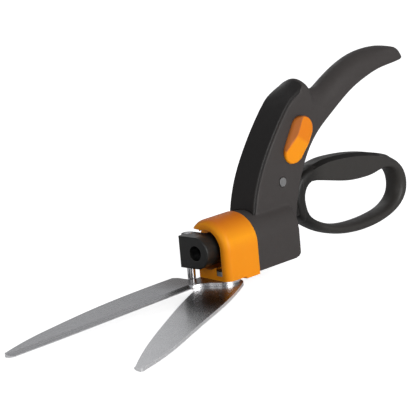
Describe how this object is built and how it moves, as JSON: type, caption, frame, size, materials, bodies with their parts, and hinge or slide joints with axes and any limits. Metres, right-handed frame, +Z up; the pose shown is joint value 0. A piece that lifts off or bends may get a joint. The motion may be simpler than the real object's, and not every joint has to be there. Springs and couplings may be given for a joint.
{
  "type": "grass shears",
  "caption": "One-handed grass shears: long blades at right angles to an upright handle, a finger loop that closes them, a head that turns on the barrel and a slide lock.",
  "frame": {"origin": "under the barrel's axis, on the plane where the turning head meets the barrel, at the height of the barrel's flat foot", "axes": "+X from the barrel to the blade tips, +Y to the side that carries the lock button, +Z up along the handle"},
  "size_m": [0.3458, 0.1081, 0.1176],
  "materials": {
    "dark_grey_plastic": "moulded dark grey glass-filled polyamide, satin",
    "black_plastic": "moulded black plastic, satin",
    "block_plastic": "black acetal, satin",
    "orange_plastic": "orange moulded plastic, semi-gloss",
    "blade_steel": "ground and polished blade steel",
    "polished_steel": "polished hardened steel pin",
    "rivet_steel": "zinc-plated steel",
    "spring_steel": "oiled spring steel"
  },
  "bodies": {
    "handle": {"handle_body": "dark_grey_plastic", "front_cover": "black_plastic", "lever_pivot_pin": "rivet_steel", "barrel_bush": "black_plastic", "detent_ball": "rivet_steel", "detent_spring": "spring_steel"},
    "lever": {"trigger_loop": "black_plastic", "fork_studs": "rivet_steel"},
    "lock": {"lock_button": "orange_plastic", "lock_latch": "rivet_steel", "lock_screw": "rivet_steel"},
    "head": {"head_collar": "orange_plastic", "swivel_sleeve": "black_plastic", "retaining_ring": "spring_steel", "upper_blade": "blade_steel", "pivot_bolt": "rivet_steel", "pivot_washer": "rivet_steel", "pivot_nut": "rivet_steel", "blade_screws": "rivet_steel", "return_spring": "spring_steel"},
    "drive": {"drive_rod": "rivet_steel", "drive_block": "block_plastic", "block_screw": "rivet_steel", "drive_pin": "polished_steel", "pin_clip": "spring_steel", "spring_seat": "rivet_steel"},
    "moving_blade": {"lower_blade": "blade_steel"}
  },
  "joints": [
    {"name": "lever_squeeze", "type": "hinge", "parent": "handle", "child": "lever", "pos_m": [-0.0352, 0, 0.0451], "axis": [0, 1, 0], "range_deg": [0, 22], "stiffness_Nm_per_rad": 1.5, "springref_deg": -22.92},
    {"name": "head_turn", "type": "hinge", "parent": "handle", "child": "head", "pos_m": [0, 0, 0.0173], "axis": [1, 0, 0], "continuous": true},
    {"name": "block_slide", "type": "slide", "parent": "head", "child": "drive", "axis": [-1, 0, 0], "range_m": [0, 0.01086], "deforming": ["return_spring"]},
    {"name": "blade_close", "type": "hinge", "parent": "head", "child": "moving_blade", "pos_m": [0.021, 0.0099, -0.003], "axis": [0, 0, -1], "range_deg": [0, 28.25]},
    {"name": "lock_slide", "type": "slide", "parent": "handle", "child": "lock", "axis": [-0.5578, 0, 0.83], "range_m": [0, 0.005]}
  ],
  "couplings": [
    {"joint": "block_slide", "follows": "lever_squeeze", "m_per_rad": 0.028147},
    {"joint": "blade_close", "follows": "lever_squeeze", "ratio": 1.2817}
  ]
}
